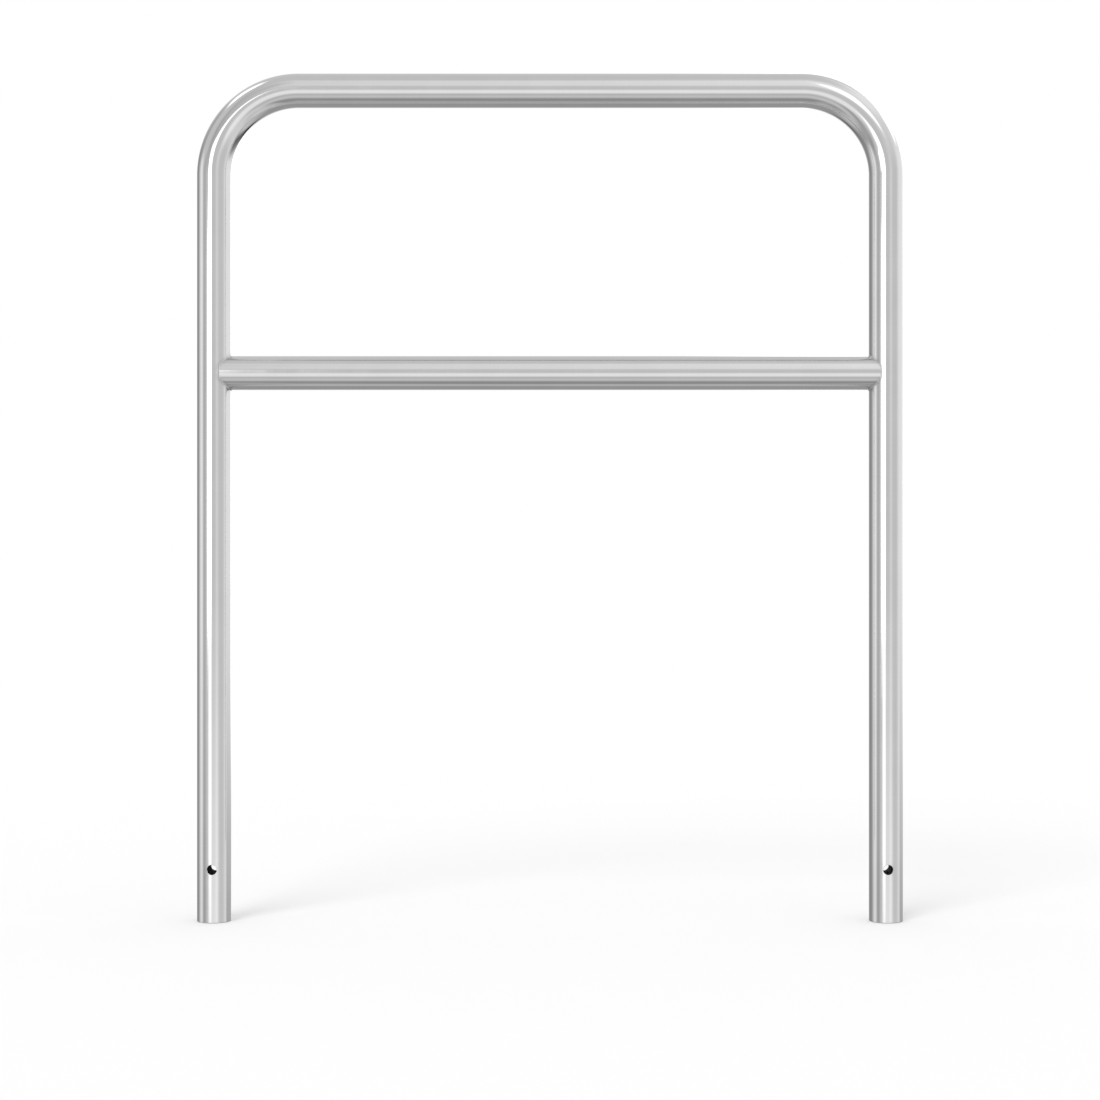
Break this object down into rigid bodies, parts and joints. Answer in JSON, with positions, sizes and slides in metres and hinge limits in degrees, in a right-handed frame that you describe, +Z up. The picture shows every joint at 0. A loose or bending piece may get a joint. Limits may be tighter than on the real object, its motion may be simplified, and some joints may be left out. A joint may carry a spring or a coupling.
{
  "type": "hoop barrier",
  "caption": "Brushed stainless tubular hoop barrier with a mid-height crossbar and legs for casting into footings, drilled for anchor rods.",
  "frame": {"origin": "centre of the left leg's open end, on the plane of both leg ends, 300 mm below the pavement", "axes": "+Z up along the leg, +X to the right leg, +Y away from the viewer, through the hoop's plane"},
  "size_m": [1, 0.0491, 1.2],
  "materials": {
    "stainless_tube": "satin polished stainless steel tube",
    "weld_bead": "stainless weld bead, brushed over"
  },
  "bodies": {
    "root": {"hoop": "stainless_tube", "crossbar": "stainless_tube", "left_weld": "weld_bead", "right_weld": "weld_bead"}
  },
  "joints": []
}
